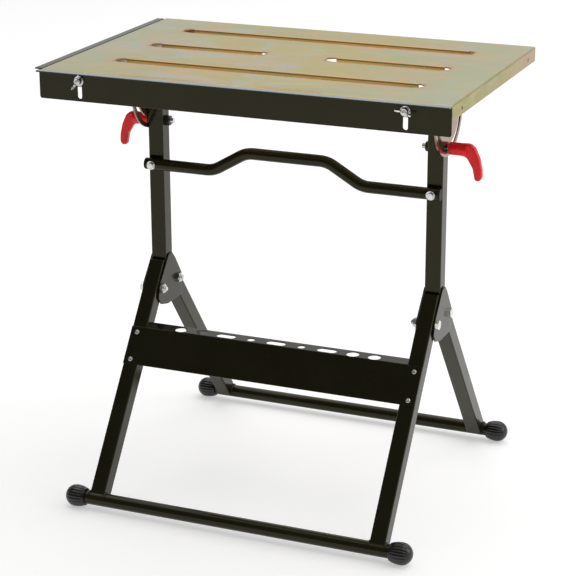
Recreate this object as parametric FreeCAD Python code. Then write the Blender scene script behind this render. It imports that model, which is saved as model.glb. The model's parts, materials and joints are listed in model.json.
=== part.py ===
import FreeCAD, Part
import math
import os

from FreeCAD import Placement, Rotation, Vector

# Folding welding table, in millimetres.
# +X runs along the long side of the top, +Y to the back, +Z up.
# The origin is on the floor, midway between the two columns.

# ---- top pan ----
TOP_LENGTH = 762.0
TOP_WIDTH = 508.0
TOP_HEIGHT = 819.0
SHEET = 2.0
FLANGE_DEPTH = 26.0
CORNER_RADIUS = 6.0
EDGE_RADIUS = 2.4
SLOT_WIDTH = 28.0
SLOT_REACH = 292.0
SLOT_INNER = 59.0
SLOT_ROWS = (-135.0, 9.0, 153.0)
LIP_DEPTH = 12.0
LIP_BEND = 3.5

# ---- guide rails and their studs ----
RAIL_SHEET = 2.5
RAIL_HEIGHT = 51.8
RAIL_SHELF = 14.5
RAIL_CORNER = 4.5
FRONT_RAIL_LENGTH = 763.0
SIDE_RAIL_LENGTH = 492.0
STUD_RADIUS = 3.0
STUD_DROP = 14.7
SPARE_HOLE_RADIUS = 3.5
FRONT_STUD_X = 302.0
SIDE_STUD_Y = 200.0
RAIL_SLOT_WIDTH = 9.0
RAIL_TRAVEL = 27.8
STUD_HEAD_RADIUS = 8.0
STUD_HEAD_THICKNESS = 2.5
WASHER_RADIUS = 9.0
WASHER_THICKNESS = 1.6

# ---- wing nuts ----
WING_HUB_RADIUS = 6.8
WING_HUB_TOP_RADIUS = 5.6
WING_HUB_HEIGHT = 7.2
WING_THICKNESS = 2.6
WING_OUTLINE = (
    (3.6, 1.4), (6.8, 3.4), (10.2, 8.4), (12.8, 10.8), (15.2, 13.0),
    (13.8, 15.4), (10.8, 15.0), (7.6, 12.0), (3.6, 7.2),
)
WING_ROUNDING = 1.0
FRONT_WING_ANGLES = (-118.0, 164.5)
SIDE_WING_ANGLES = (-150.0, -35.0)

# ---- columns and tilt joint ----
TUBE = 30.0
TUBE_WALL = 2.0
TUBE_CORNER = 2.5
COLUMN_X = 276.5
COLUMN_TOP = 757.0
COLUMN_BOTTOM = 330.0
PIVOT_Y = 4.0
PIVOT_Z = 742.0
BRACKET_RADIUS = 79.0
BRACKET_SHEET = 3.0
BRACKET_FLANGE = 26.0
BRACKET_LENGTH = 460.0
BRACKET_WEB = 22.0
ARC_RADIUS = 64.5
ARC_WIDTH = 11.6
M10_RADIUS = 5.0
M10_FLATS = 17.0
M10_HEAD = 6.4
M10_NUT = 8.4
M10_WASHER_RADIUS = 10.5
M10_WASHER = 1.8

# ---- clamp levers ----
LEVER_HUB_RADIUS = 11.6
LEVER_COLLAR_RADIUS = 7.4
LEVER_HUB_LENGTH = 34.0
LEVER_THICKNESS = 14.0
LEVER_EDGE = 4.0
LEVER_HUB_EDGE = 1.2
LEVER_BLIND = 12.0
LEVER_ROUNDING = 14.0
LEVER_OUTLINE = (
    (-17.0, 0.0), (6.0, 0.0), (14.5, 7.5), (23.0, 26.0), (27.5, 46.0), (28.2, 60.0),
    (24.0, 66.5), (15.0, 66.0), (10.5, 44.0), (-2.0, 23.2), (-17.0, 23.2),
)
LEVER_STUD_END = 246.5
LEVER_NUT = 6.4

# ---- handle bar ----
BAR_RADIUS = 11.1
BAR_WALL = 1.5
BAR_Z = 598.5
BAR_RISE = 39.5
BAR_HALF_TOP = 80.0
BAR_RAMP = 67.5
BAR_OFFSET = -5.0
BAR_BEND = 50.0
BAR_END = 290.5
PLUG_FACE = 2.0
PLUG_STEM = 14.0
M8_RADIUS = 4.0
M8_FLATS = 13.0
M8_NUT = 6.5
BAR_WASHER_RADIUS = 8.4
BAR_WASHER = 1.6
BAR_HEAD_RADIUS = 6.6
BAR_HEAD = 4.6

# ---- leg hinges ----
HINGE_PLATE = 3.0
HINGE_Z = 358.0
FRONT_PIVOT_Y = -42.0
REAR_PIVOT_Y = 31.0
HINGE_OUTLINE = (
    (-8.0, 414.5), (8.0, 415.5), (20.0, 402.5), (49.5, 360.0), (43.0, 318.5),
    (-16.0, 318.5), (-43.0, 325.5), (-55.5, 341.0), (-49.0, 366.0),
)
HINGE_ROUNDING = 5.0

# ---- legs, crossbars and feet ----
LEG = 29.4
LEG_TOP_Z = 408.0
LEG_STOP_GAP = 0.9
FOOT_X = 321.5
FOOT_Y = 293.5
FRONT_LEG_FOOT_Y = -288.0
REAR_LEG_FOOT_Y = 291.0
FOOT_RADIUS = 20.5
FOOT_COLLAR_RADIUS = 15.4
FOOT_COLLAR_X = 300.0
CROSSBAR_RADIUS = 12.7
CROSSBAR_END = 312.0
CROSSBAR_WALL = 2.0

# ---- tool tray ----
TRAY_SHEET = 1.5
TRAY_TOP = 85.4
TRAY_BOTTOM = 159.7
TRAY_SHELF = 31.0
TRAY_HOLE_SETBACK = 13.6
TRAY_HOLE_PITCH = 50.7
TRAY_LARGE_RADIUS = 12.0
TRAY_SMALL_RADIUS = 7.2
TRAY_OUTER_LARGE_X = 194.0
TRAY_SLOT_LENGTH = 38.0
TRAY_SLOT_WIDTH = 17.0
TRAY_SCREW_X = 277.5
TRAY_SCREW_STATIONS = (96.8, 150.6)
SCREW_HEAD_RADIUS = 4.4
SCREW_HEAD = 2.6
SCREW_RADIUS = 2.4
SCREW_LENGTH = 9.0

# ---- clearances ----
GAP = 0.3
RUNNING = 0.05

COLUMN_OUTER = COLUMN_X + TUBE / 2
COLUMN_INNER = COLUMN_X - TUBE / 2
BRACKET_INNER = COLUMN_OUTER + GAP
BRACKET_OUTER = BRACKET_INNER + BRACKET_SHEET
STUD_Z = TOP_HEIGHT - STUD_DROP
LEVER_Z = PIVOT_Z - ARC_RADIUS
X_AXIS = Vector(1, 0, 0)
Y_AXIS = Vector(0, 1, 0)
Z_AXIS = Vector(0, 0, 1)


def box(x, y, z):
    """A block between the given low and high values on each axis."""
    low = Vector(min(x), min(y), min(z))
    return Part.makeBox(abs(x[1] - x[0]), abs(y[1] - y[0]), abs(z[1] - z[0]), low)


def rod(radius, start, end):
    """A round bar between two points."""
    start = Vector(*start)
    way = Vector(*end) - start
    return Part.makeCylinder(radius, way.Length, start, way)


def ring(outer, inner, start, end):
    """A washer, nut blank or sleeve between two points."""
    return rod(outer, start, end).cut(rod(inner, start, end))


def hexagon(flats, start, end):
    """A hexagonal bar across the given flats, between two points along X or Y."""
    start = Vector(*start)
    way = Vector(*end) - start
    radius = flats / math.sqrt(3)
    points = []
    for k in range(7):
        angle = math.radians(60 * k)
        points.append(Vector(radius * math.cos(angle), radius * math.sin(angle), 0))
    bar = Part.Face(Part.makePolygon(points)).extrude(Vector(0, 0, way.Length))
    bar.Placement = Placement(start, Rotation(Z_AXIS, way))
    corner = radius - 0.35 * (radius - flats / 2)
    return bar.common(rod(corner, start, start + way))


def rounded_face(points, radius):
    """A flat face from 3-D corner points, with every corner rounded."""
    edges = []
    count = len(points)
    joins = []
    for k in range(count):
        before = points[k - 1] - points[k]
        after = points[(k + 1) % count] - points[k]
        half = before.getAngle(after) / 2
        reach = min(radius / math.tan(half), 0.45 * before.Length, 0.45 * after.Length)
        real = reach * math.tan(half)
        bisector = (before.normalize() + after.normalize()).normalize()
        middle = points[k] + bisector * (real / math.sin(half) - real)
        joins.append((points[k] + before * reach, middle, points[k] + after * reach))
    for k in range(count):
        edges.append(Part.Arc(*joins[k]).toShape())
        edges.append(Part.makeLine(joins[k][2], joins[(k + 1) % count][0]))
    return Part.Face(Part.Wire(edges))


def plate_yz(outline, radius, x0, x1):
    """A plate standing in the YZ plane, from x0 to x1."""
    face = rounded_face([Vector(x0, y, z) for y, z in outline], radius)
    return face.extrude(Vector(x1 - x0, 0, 0))


def square_tube(size, wall, corner, z0, z1):
    """A square tube along Z with rounded corners."""
    shells = []
    for width, radius in ((size, corner), (size - 2 * wall, corner - wall / 2)):
        half = width / 2
        corners = [(-half, -half), (half, -half), (half, half), (-half, half)]
        face = rounded_face([Vector(x, y, z0) for x, y in corners], radius)
        shells.append(face.extrude(Vector(0, 0, z1 - z0)))
    return shells[0].cut(shells[1])


def obround(width, start, end, depth):
    """A block with round ends; the ends' centres are start and end, the depth is a vector."""
    start = Vector(*start)
    end = Vector(*end)
    along = (end - start).normalize()
    side = depth.cross(along).normalize() * (width / 2)
    along = along * (width / 2)
    edges = [
        Part.makeLine(start + side, end + side),
        Part.Arc(end + side, end + along, end - side).toShape(),
        Part.makeLine(end - side, start - side),
        Part.Arc(start - side, start - along, start + side).toShape(),
    ]
    return Part.Face(Part.Wire(edges)).extrude(depth)


def mirrored(shape):
    """The same piece on the other side of the table."""
    return shape.mirror(Vector(0, 0, 0), X_AXIS)


def save(node, *solids):
    """Writes one sub-part; a group of loose fasteners is several solids in one node."""
    shape = solids[0] if len(solids) == 1 else Part.makeCompound(list(solids))
    if not shape.isValid() or not shape.Solids:
        raise ValueError(node + " isn't a valid solid")
    shape.exportStep("parts/" + node + ".step")


def save_pair(name, solid):
    """Writes the right-hand piece and its mirror image."""
    save("right_" + name, solid)
    save("left_" + name, mirrored(solid))


# ---------------------------------------------------------------- top
def slot_spans():
    """Centre line of each clamping slot: (low x tip, high x tip, y)."""
    front, middle, rear = SLOT_ROWS
    return (
        (-SLOT_REACH, SLOT_REACH, front),
        (-SLOT_REACH, -SLOT_INNER, middle),
        (SLOT_INNER, SLOT_REACH, middle),
        (-SLOT_REACH, SLOT_REACH, rear),
    )


def slot_lip(x0, x1, y, side):
    """The rolled lip that is folded down along one straight edge of a slot."""
    top = TOP_HEIGHT
    wall = y + side * SLOT_WIDTH / 2
    back = wall + side * SHEET
    far = wall + side * LIP_BEND
    inner = LIP_BEND - SHEET
    centre = Vector(x0, far, top - LIP_BEND)
    diagonal = Vector(0, -side, 1).normalize()
    outer_arc = Part.Arc(Vector(x0, far, top), centre + diagonal * LIP_BEND, Vector(x0, wall, top - LIP_BEND))
    inner_arc = Part.Arc(
        Vector(x0, back, top - LIP_BEND), centre + diagonal * inner, Vector(x0, far, top - SHEET)
    )
    foot_near = Vector(x0, wall, top - LIP_DEPTH)
    foot_far = Vector(x0, back, top - LIP_DEPTH)
    edges = [
        outer_arc.toShape(),
        Part.makeLine(Vector(x0, wall, top - LIP_BEND), foot_near),
        Part.makeLine(foot_near, foot_far),
        Part.makeLine(foot_far, Vector(x0, back, top - LIP_BEND)),
        inner_arc.toShape(),
        Part.makeLine(Vector(x0, far, top - SHEET), Vector(x0, far, top)),
    ]
    return Part.Face(Part.Wire(edges)).extrude(Vector(x1 - x0, 0, 0))


def pan_shell():
    """A pressed sheet pan, open underneath, with rounded corners and edges."""
    bottom = TOP_HEIGHT - FLANGE_DEPTH
    blocks = []
    for inset in (0.0, SHEET):
        x = TOP_LENGTH / 2 - inset
        y = TOP_WIDTH / 2 - inset
        top = TOP_HEIGHT - inset
        corners = [Vector(-x, -y, bottom), Vector(x, -y, bottom), Vector(x, y, bottom), Vector(-x, y, bottom)]
        block = rounded_face(corners, CORNER_RADIUS - inset).extrude(Vector(0, 0, top - bottom))
        rim = [edge for edge in block.Edges if edge.BoundBox.ZMin > top - 0.01]
        blocks.append(block.makeFillet(EDGE_RADIUS + 0.6 - inset, rim))
    return blocks[0].cut(blocks[1])


def top_pan():
    pan = pan_shell()
    lips = []
    through = Vector(0, 0, -2 * LIP_DEPTH)
    above = TOP_HEIGHT + LIP_DEPTH
    end = SLOT_WIDTH / 2
    for low, high, y in slot_spans():
        pan = pan.cut(obround(SLOT_WIDTH, (low + end, y, above), (high - end, y, above), through))
        wide = end + LIP_BEND
        pan = pan.cut(box((low + end, high - end), (y - wide, y + wide), (above, above - 2 * LIP_DEPTH)))
        lips.append(slot_lip(low + end, high - end, y, 1))
        lips.append(slot_lip(low + end, high - end, y, -1))
    pan = pan.fuse(lips)
    half_x = TOP_LENGTH / 2
    half_y = TOP_WIDTH / 2
    for side in (-1, 1):
        x = side * FRONT_STUD_X
        y = side * SIDE_STUD_Y
        pan = pan.cut(rod(STUD_RADIUS, (x, -half_y - 5, STUD_Z), (x, -half_y + 5, STUD_Z)))
        pan = pan.cut(rod(STUD_RADIUS, (-half_x - 5, y, STUD_Z), (-half_x + 5, y, STUD_Z)))
        pan = pan.cut(rod(SPARE_HOLE_RADIUS, (half_x - 5, y, STUD_Z), (half_x + 5, y, STUD_Z)))
    return pan.removeSplitter().Solids[0]


def tilt_bracket():
    """Right-hand bracket: an angle under the top with a half-round cheek and the clamp lever's arc slot."""
    top = TOP_HEIGHT - SHEET
    front = PIVOT_Y - BRACKET_RADIUS
    rear = PIVOT_Y + BRACKET_RADIUS
    x0 = BRACKET_INNER
    x1 = BRACKET_OUTER
    upper = box((x0, x1), (front, rear), (PIVOT_Z, top))
    disc = rod(BRACKET_RADIUS, (x0, PIVOT_Y, PIVOT_Z), (x1, PIVOT_Y, PIVOT_Z))
    lower = disc.common(box((x0, x1), (front, rear), (PIVOT_Z - BRACKET_RADIUS, PIVOT_Z)))
    half = BRACKET_LENGTH / 2
    web = box((x0, x1), (-half, half), (top - BRACKET_WEB, top))
    flange = box((x0, x1 + BRACKET_FLANGE), (-half, half), (top - BRACKET_SHEET, top))
    cheek = upper.fuse(lower).fuse(web).fuse(flange)
    outer = ARC_RADIUS + ARC_WIDTH / 2
    inner = ARC_RADIUS - ARC_WIDTH / 2
    arc = ring(outer, inner, (x0 - 1, PIVOT_Y, PIVOT_Z), (x1 + 1, PIVOT_Y, PIVOT_Z))
    arc = arc.cut(box((x0 - 2, x1 + 2), (front, rear), (PIVOT_Z, top)))
    for side in (-1, 1):
        y = PIVOT_Y + side * ARC_RADIUS
        arc = arc.fuse(rod(ARC_WIDTH / 2, (x0 - 1, y, PIVOT_Z), (x1 + 1, y, PIVOT_Z)))
    bore = rod(M10_RADIUS + RUNNING, (x0 - 1, PIVOT_Y, PIVOT_Z), (x1 + 1, PIVOT_Y, PIVOT_Z))
    return cheek.cut(arc).cut(bore).removeSplitter()


def make_top():
    save("table_top_pan", top_pan())
    save_pair("tilt_bracket", tilt_bracket())


# ---------------------------------------------------------------- guide rails
def rail_profile(face, height_top):
    """Cross-section of a rail: an upright with a shelf folded outwards along its top edge.

    The first coordinate is measured outwards from the pan's flange, starting at face.
    """
    outer = face + RAIL_SHEET
    shelf = face + RAIL_SHELF
    under = height_top - RAIL_SHEET
    foot = height_top - RAIL_HEIGHT
    return ((face, height_top), (shelf, height_top), (shelf, under), (outer, under), (outer, foot), (face, foot))


def guide_rail(length, stations):
    """A rail along X that stands against a face at y = 0 and points towards -Y."""
    start = -length / 2
    outline = [Vector(start, -out, z) for out, z in rail_profile(GAP + 0.1, TOP_HEIGHT)]
    rail = rounded_face(outline, 0.8).extrude(Vector(length, 0, 0))
    foot = TOP_HEIGHT - RAIL_HEIGHT
    for side in (-1, 1):
        end = side * length / 2
        square = box((end, end - side * RAIL_CORNER), (0, -RAIL_SHELF), (foot, foot + RAIL_CORNER))
        x = end - side * RAIL_CORNER
        z = foot + RAIL_CORNER
        rail = rail.cut(square.cut(rod(RAIL_CORNER, (x, 1, z), (x, -RAIL_SHELF - 1, z))))
    for x in stations:
        low = (x, 1, STUD_Z - RAIL_TRAVEL)
        rail = rail.cut(obround(RAIL_SLOT_WIDTH, low, (x, 1, STUD_Z), Vector(0, -RAIL_SHELF / 2, 0)))
    return rail


def stud(x):
    """A weld stud that points towards -Y, with its head inside the flange at y = 0."""
    head = rod(STUD_HEAD_RADIUS, (x, SHEET, STUD_Z), (x, SHEET + STUD_HEAD_THICKNESS, STUD_Z))
    reach = GAP + RAIL_SHEET + WASHER_THICKNESS + WING_HUB_HEIGHT + 5.0
    return head.fuse(rod(STUD_RADIUS, (x, SHEET, STUD_Z), (x, -reach, STUD_Z))).removeSplitter()


def stud_washer(x):
    near = -(2 * GAP + 0.1 + RAIL_SHEET)
    return ring(WASHER_RADIUS, STUD_RADIUS, (x, near, STUD_Z), (x, near - WASHER_THICKNESS, STUD_Z))


def wing_nut(x, angle):
    """A wing nut on the stud at x, turned about the stud by the given angle."""
    hub = Part.makeCone(WING_HUB_RADIUS, WING_HUB_TOP_RADIUS, WING_HUB_HEIGHT)
    half = WING_THICKNESS / 2
    for side in (-1, 1):
        outline = [Vector(side * r, -half, h) for r, h in WING_OUTLINE]
        wing = rounded_face(outline, WING_ROUNDING).extrude(Vector(0, WING_THICKNESS, 0))
        hub = hub.fuse(wing)
    bore = Part.makeCylinder(STUD_RADIUS + RUNNING, 4 * WING_HUB_HEIGHT, Vector(0, 0, -WING_HUB_HEIGHT))
    nut = hub.cut(bore).removeSplitter()
    nut.Placement = Placement(Vector(0, 0, 0), Rotation(Z_AXIS, angle))
    base = -(3 * GAP + 0.1 + RAIL_SHEET + WASHER_THICKNESS)
    stand = Placement(Vector(x, base, STUD_Z), Rotation(X_AXIS, 90))
    nut.Placement = stand.multiply(nut.Placement)
    return nut


def on_front(shape):
    """Moves a piece from the y = 0 face to the front flange."""
    moved = shape.copy()
    moved.translate(Vector(0, -TOP_WIDTH / 2, 0))
    return moved


def on_left(shape):
    """Turns a piece from the y = 0 face onto the left flange."""
    turned = shape.copy()
    turned.rotate(Vector(0, 0, 0), Z_AXIS, -90)
    turned.translate(Vector(-TOP_LENGTH / 2, 0, 0))
    return turned


def make_guides():
    front = (-FRONT_STUD_X, FRONT_STUD_X)
    side = (-SIDE_STUD_Y, SIDE_STUD_Y)
    save("front_guide_rail", on_front(guide_rail(FRONT_RAIL_LENGTH, front)))
    save("left_guide_rail", on_left(guide_rail(SIDE_RAIL_LENGTH, side)))
    save("front_rail_studs", *[on_front(stud(x)) for x in front])
    save("left_rail_studs", *[on_left(stud(x)) for x in side])
    save("front_rail_washers", *[on_front(stud_washer(x)) for x in front])
    save("left_rail_washers", *[on_left(stud_washer(x)) for x in side])
    for name, x, angle in zip(("left", "right"), front, FRONT_WING_ANGLES):
        save("front_wing_nut_" + name, on_front(wing_nut(x, angle)))
    for name, x, angle in zip(("rear", "front"), side, SIDE_WING_ANGLES):
        save("left_wing_nut_" + name, on_left(wing_nut(x, angle)))


# ---------------------------------------------------------------- columns
def column():
    """Right-hand upright, drilled for the tilt pivot, the lever stud and the handle bolt."""
    tube = square_tube(TUBE, TUBE_WALL, TUBE_CORNER, COLUMN_BOTTOM, COLUMN_TOP)
    tube.translate(Vector(COLUMN_X, 0, 0))
    x0 = COLUMN_INNER - 1
    x1 = COLUMN_OUTER + 1
    tube = tube.cut(rod(M10_RADIUS + 0.1, (x0, PIVOT_Y, PIVOT_Z), (x1, PIVOT_Y, PIVOT_Z)))
    tube = tube.cut(rod(M10_RADIUS + RUNNING, (x0, PIVOT_Y, LEVER_Z), (x1, PIVOT_Y, LEVER_Z)))
    return tube.cut(rod(M8_RADIUS + 0.1, (COLUMN_X, -TUBE, BAR_Z), (COLUMN_X, TUBE, BAR_Z)))


def hinge_plate(x0, x1):
    """A cheek that is welded to the column's side and carries both leg pivots."""
    plate = plate_yz(HINGE_OUTLINE, HINGE_ROUNDING, x0, x1)
    for y in (FRONT_PIVOT_Y, REAR_PIVOT_Y):
        plate = plate.cut(rod(M10_RADIUS + 0.1, (x0 - 1, y, HINGE_Z), (x1 + 1, y, HINGE_Z)))
    return plate


def tilt_pivot_bolt():
    """Hex bolt with its washer's thickness left free under the head."""
    head_x = BRACKET_OUTER + GAP + M10_WASHER
    end_x = COLUMN_INNER - M10_NUT - 2.5
    head = hexagon(M10_FLATS, (head_x, PIVOT_Y, PIVOT_Z), (head_x + M10_HEAD, PIVOT_Y, PIVOT_Z))
    return head.fuse(rod(M10_RADIUS, (head_x, PIVOT_Y, PIVOT_Z), (end_x, PIVOT_Y, PIVOT_Z)))


def m10_nut(x, y, z, thickness, bore):
    """A hex nut that sits against x and runs inwards, towards the middle of the table."""
    nut = hexagon(M10_FLATS, (x, y, z), (x - thickness, y, z))
    return nut.cut(rod(bore, (x + 1, y, z), (x - thickness - 1, y, z)))


def leg_bolt(y):
    """Hex bolt through both hinge plates and the leg between them."""
    head_x = COLUMN_OUTER + HINGE_PLATE
    end_x = COLUMN_INNER - HINGE_PLATE - M10_NUT - 3.5
    head = hexagon(M10_FLATS, (head_x, y, HINGE_Z), (head_x + M10_HEAD, y, HINGE_Z))
    return head.fuse(rod(M10_RADIUS, (head_x, y, HINGE_Z), (end_x, y, HINGE_Z)))


def both(shapes):
    """Each right-hand piece together with its mirror image."""
    group = []
    for shape in shapes:
        group.append(shape)
        group.append(mirrored(shape))
    return group


def make_columns():
    save_pair("column", column())
    save_pair("outer_hinge_plate", hinge_plate(COLUMN_OUTER, COLUMN_OUTER + HINGE_PLATE))
    save_pair("inner_hinge_plate", hinge_plate(COLUMN_INNER - HINGE_PLATE, COLUMN_INNER))
    washer_x = BRACKET_OUTER + GAP
    washer = ring(
        M10_WASHER_RADIUS, M10_RADIUS, (washer_x, PIVOT_Y, PIVOT_Z), (washer_x + M10_WASHER, PIVOT_Y, PIVOT_Z)
    )
    save("tilt_pivot_bolts", *both([tilt_pivot_bolt()]))
    save("tilt_pivot_washers", *both([washer]))
    save("tilt_pivot_nuts", *both([m10_nut(COLUMN_INNER, PIVOT_Y, PIVOT_Z, M10_NUT, M10_RADIUS)]))
    nut_x = COLUMN_INNER - M10_WASHER
    lever_washer = ring(
        M10_WASHER_RADIUS, M10_RADIUS + RUNNING, (COLUMN_INNER, PIVOT_Y, LEVER_Z), (nut_x, PIVOT_Y, LEVER_Z)
    )
    save("clamp_nut_washers", *both([lever_washer]))
    save("clamp_nuts", *both([m10_nut(nut_x, PIVOT_Y, LEVER_Z, LEVER_NUT, M10_RADIUS + RUNNING)]))
    plate_in = COLUMN_INNER - HINGE_PLATE
    for name, y in (("front", FRONT_PIVOT_Y), ("rear", REAR_PIVOT_Y)):
        save(name + "_leg_pivot_bolts", *both([leg_bolt(y)]))
        save(name + "_leg_pivot_nuts", *both([m10_nut(plate_in, y, HINGE_Z, M10_NUT, M10_RADIUS)]))


# ---------------------------------------------------------------- clamp levers
def lever_grip():
    """Right-hand grip: a round hub on the stud, then an elbow and a tapering arm that hangs down."""
    x = BRACKET_OUTER + GAP + M10_WASHER
    elbow = x + LEVER_HUB_LENGTH
    near = PIVOT_Y - LEVER_THICKNESS / 2
    top = LEVER_Z + LEVER_HUB_RADIUS
    outline = [Vector(elbow + out, near, top - down) for out, down in LEVER_OUTLINE]
    arm = rounded_face(outline, LEVER_ROUNDING).extrude(Vector(0, LEVER_THICKNESS, 0))
    arm = arm.makeFillet(LEVER_EDGE, [edge for edge in arm.Edges if edge.BoundBox.YLength < 0.01])
    hub = rod(LEVER_HUB_RADIUS, (x, PIVOT_Y, LEVER_Z), (elbow, PIVOT_Y, LEVER_Z))
    hub = hub.makeFillet(LEVER_HUB_EDGE, [edge for edge in hub.Edges if edge.BoundBox.XLength < 0.01])
    bore = rod(M10_RADIUS, (x - 1, PIVOT_Y, LEVER_Z), (elbow - LEVER_BLIND, PIVOT_Y, LEVER_Z))
    return hub.fuse(arm).cut(bore).removeSplitter()


def lever_stud():
    x = BRACKET_OUTER + GAP + M10_WASHER + LEVER_HUB_LENGTH - LEVER_BLIND
    return rod(M10_RADIUS, (LEVER_STUD_END, PIVOT_Y, LEVER_Z), (x, PIVOT_Y, LEVER_Z))


def make_levers():
    save_pair("lever_grip", lever_grip())
    save_pair("lever_stud", lever_stud())
    x = BRACKET_OUTER + GAP
    collar = ring(LEVER_COLLAR_RADIUS, M10_RADIUS, (x, PIVOT_Y, LEVER_Z), (x + M10_WASHER, PIVOT_Y, LEVER_Z))
    save_pair("lever_collar", collar)


# ---------------------------------------------------------------- handle bar
def bar_corners(y):
    """Corner points of the bent bar's centre line, before the bends are rounded."""
    low = BAR_Z
    high = BAR_Z + BAR_RISE
    run = BAR_HALF_TOP + BAR_RAMP
    return [
        Vector(-BAR_END, y, low),
        Vector(BAR_OFFSET - run, y, low),
        Vector(BAR_OFFSET - BAR_HALF_TOP, y, high),
        Vector(BAR_OFFSET + BAR_HALF_TOP, y, high),
        Vector(BAR_OFFSET + run, y, low),
        Vector(BAR_END, y, low),
    ]


def bent_rod(points, bend, radius):
    """A round bar along straight runs joined by tangent bends."""
    edges = []
    last = points[0]
    for k in range(1, len(points) - 1):
        before = (points[k - 1] - points[k]).normalize()
        after = (points[k + 1] - points[k]).normalize()
        half = before.getAngle(after) / 2
        reach = bend / math.tan(half)
        middle = points[k] + (before + after).normalize() * (bend / math.sin(half) - bend)
        edges.append(Part.makeLine(last, points[k] + before * reach))
        edges.append(Part.Arc(points[k] + before * reach, middle, points[k] + after * reach).toShape())
        last = points[k] + after * reach
    edges.append(Part.makeLine(last, points[-1]))
    section = Part.Wire(Part.makeCircle(radius, points[0], X_AXIS))
    return Part.Wire(edges).makePipeShell([section], True, False)


def make_handle():
    y = -TUBE / 2 - BAR_RADIUS
    points = bar_corners(y)
    bar = bent_rod(points, BAR_BEND, BAR_RADIUS).cut(bent_rod(points, BAR_BEND, BAR_RADIUS - BAR_WALL))
    front = y - BAR_RADIUS
    for side in (-1, 1):
        x = side * COLUMN_X
        bar = bar.cut(rod(M8_RADIUS + 0.1, (x, front - 1, BAR_Z), (x, 0, BAR_Z)))
    save("handle_bar", bar)
    face = rod(BAR_RADIUS, (BAR_END, y, BAR_Z), (BAR_END + PLUG_FACE, y, BAR_Z))
    rim = [edge for edge in face.Edges if edge.BoundBox.XMin > BAR_END + 1]
    face = face.makeFillet(PLUG_FACE * 0.6, rim)
    stem = rod(BAR_RADIUS - BAR_WALL, (BAR_END, y, BAR_Z), (BAR_END - PLUG_STEM / 2, y, BAR_Z))
    save("handle_end_plugs", *both([face.fuse(stem).removeSplitter()]))
    washer = ring(
        BAR_WASHER_RADIUS, M8_RADIUS, (COLUMN_X, front, BAR_Z), (COLUMN_X, front - BAR_WASHER, BAR_Z)
    )
    save("handle_washers", *both([washer]))
    seat = front - BAR_WASHER
    head = rod(BAR_HEAD_RADIUS, (COLUMN_X, seat, BAR_Z), (COLUMN_X, seat - BAR_HEAD, BAR_Z))
    crown = [edge for edge in head.Edges if edge.BoundBox.YMax < seat - BAR_HEAD + 0.1]
    head = head.makeFillet(BAR_HEAD * 0.6, crown)
    shank = rod(M8_RADIUS, (COLUMN_X, seat, BAR_Z), (COLUMN_X, TUBE / 2 + M8_NUT + 2.5, BAR_Z))
    save("handle_bolts", *both([head.fuse(shank).removeSplitter()]))
    nut = hexagon(M8_FLATS, (COLUMN_X, TUBE / 2, BAR_Z), (COLUMN_X, TUBE / 2 + M8_NUT, BAR_Z))
    nut = nut.cut(rod(M8_RADIUS, (COLUMN_X, 0, BAR_Z), (COLUMN_X, TUBE, BAR_Z)))
    save("handle_nuts", *both([nut]))


# ---------------------------------------------------------------- legs
def leg_frame(pivot_y, foot_y):
    """Unit vectors along a leg, from pivot to foot, and out of its outward face, and its length."""
    way = Vector(0, foot_y - pivot_y, FOOT_RADIUS - HINGE_Z)
    length = way.Length
    along = way.normalize()
    outward = Vector(0, along.z, -along.y) if foot_y < 0 else Vector(0, -along.z, along.y)
    return along, outward, length


def leg(pivot_y, foot_y, crossbar_y):
    """Right-hand leg: its top is cut upright to stop against the column, its foot is coped on the bar."""
    along, outward, length = leg_frame(pivot_y, foot_y)
    slant = math.degrees(math.atan2(foot_y - pivot_y, HINGE_Z - FOOT_RADIUS))
    tube = square_tube(LEG, TUBE_WALL, TUBE_CORNER, -length + CROSSBAR_RADIUS / 3, 3 * LEG)
    tube.Placement = Placement(Vector(COLUMN_X, pivot_y, HINGE_Z), Rotation(X_AXIS, slant))
    stop = TUBE / 2 + LEG_STOP_GAP
    side = -1 if foot_y < 0 else 1
    beyond = side * (stop - 3 * TUBE)
    tube = tube.cut(box((COLUMN_X - LEG, COLUMN_X + LEG), (side * stop, beyond), (HINGE_Z - LEG, 2 * HINGE_Z)))
    tube = tube.cut(box((COLUMN_X - LEG, COLUMN_X + LEG), (-4 * LEG, 4 * LEG), (LEG_TOP_Z, 2 * HINGE_Z)))
    x0 = COLUMN_X - LEG
    x1 = COLUMN_X + LEG
    tube = tube.cut(rod(M10_RADIUS + RUNNING, (x0, pivot_y, HINGE_Z), (x1, pivot_y, HINGE_Z)))
    tube = tube.cut(rod(CROSSBAR_RADIUS, (x0, crossbar_y, FOOT_RADIUS), (x1, crossbar_y, FOOT_RADIUS)))
    if foot_y < 0:
        for station in TRAY_SCREW_STATIONS:
            seat = Vector(TRAY_SCREW_X, pivot_y, HINGE_Z) + along * station
            tube = tube.cut(rod(SCREW_RADIUS, seat, seat + outward * LEG))
    return max(tube.Solids, key=lambda solid: solid.Volume)


def crossbar(y):
    return ring(
        CROSSBAR_RADIUS, CROSSBAR_RADIUS - CROSSBAR_WALL,
        (-CROSSBAR_END, y, FOOT_RADIUS), (CROSSBAR_END, y, FOOT_RADIUS),
    )


def ball_foot(y):
    """Right-hand foot: a rubber ball with a short collar, pushed over the crossbar's end."""
    ball = Part.makeSphere(FOOT_RADIUS, Vector(FOOT_X, y, FOOT_RADIUS))
    collar = rod(FOOT_COLLAR_RADIUS, (FOOT_COLLAR_X, y, FOOT_RADIUS), (FOOT_X, y, FOOT_RADIUS))
    socket = rod(CROSSBAR_RADIUS, (FOOT_COLLAR_X - 1, y, FOOT_RADIUS), (CROSSBAR_END, y, FOOT_RADIUS))
    return ball.fuse(collar).cut(socket).removeSplitter()


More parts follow.
